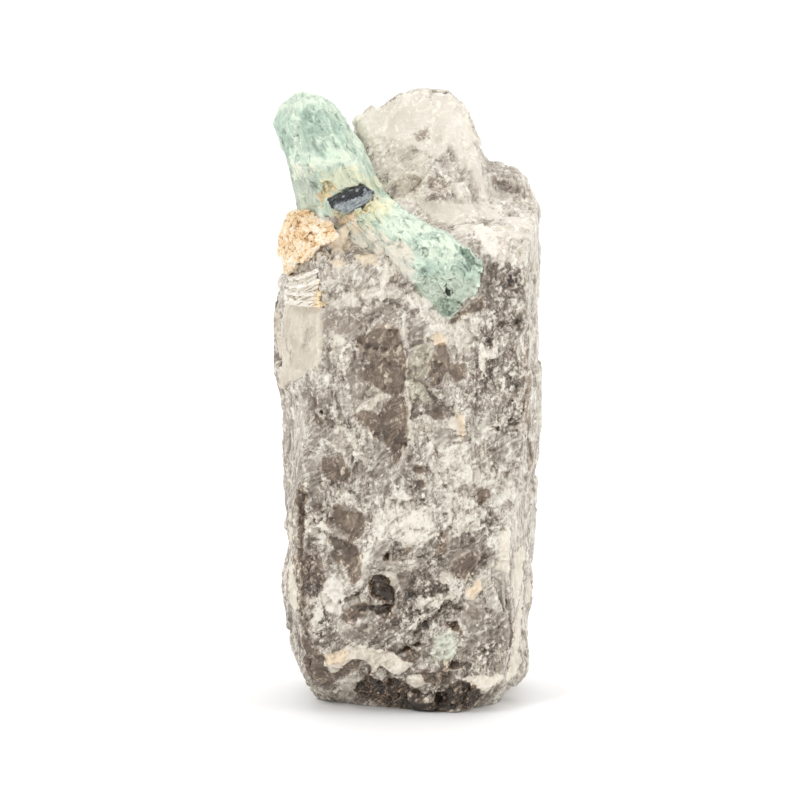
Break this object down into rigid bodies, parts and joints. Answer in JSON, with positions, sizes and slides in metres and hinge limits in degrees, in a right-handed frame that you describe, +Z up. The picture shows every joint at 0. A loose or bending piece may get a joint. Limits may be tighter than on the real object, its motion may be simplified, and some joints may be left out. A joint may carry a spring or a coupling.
{
  "type": "aquamarine in quartz specimen",
  "caption": "Broken upright pillar of smoky quartz with stubby aquamarine prisms, black tourmaline, mica and a tan feldspar crust at its top.",
  "frame": {"origin": "on the flat face that the specimen rests on, near the middle of its footprint", "axes": "+Z up along the pillar, -Y towards the side that shows both aquamarine crystals, +X to the right seen from there"},
  "size_m": [0.0557, 0.0487, 0.128],
  "materials": {
    "smoky_quartz": "broken, milky to smoky, with many small glints",
    "aquamarine": "waxy, cloudy",
    "black_tourmaline": "shiny, striated",
    "feldspar": "matte, granular",
    "mica": "pearly plates"
  },
  "bodies": {
    "root": {"quartz_matrix": "smoky_quartz", "upper_aquamarine": "aquamarine", "lower_aquamarine": "aquamarine", "black_tourmaline": "black_tourmaline", "feldspar_patch": "feldspar", "mica_stack": "mica"}
  },
  "joints": []
}
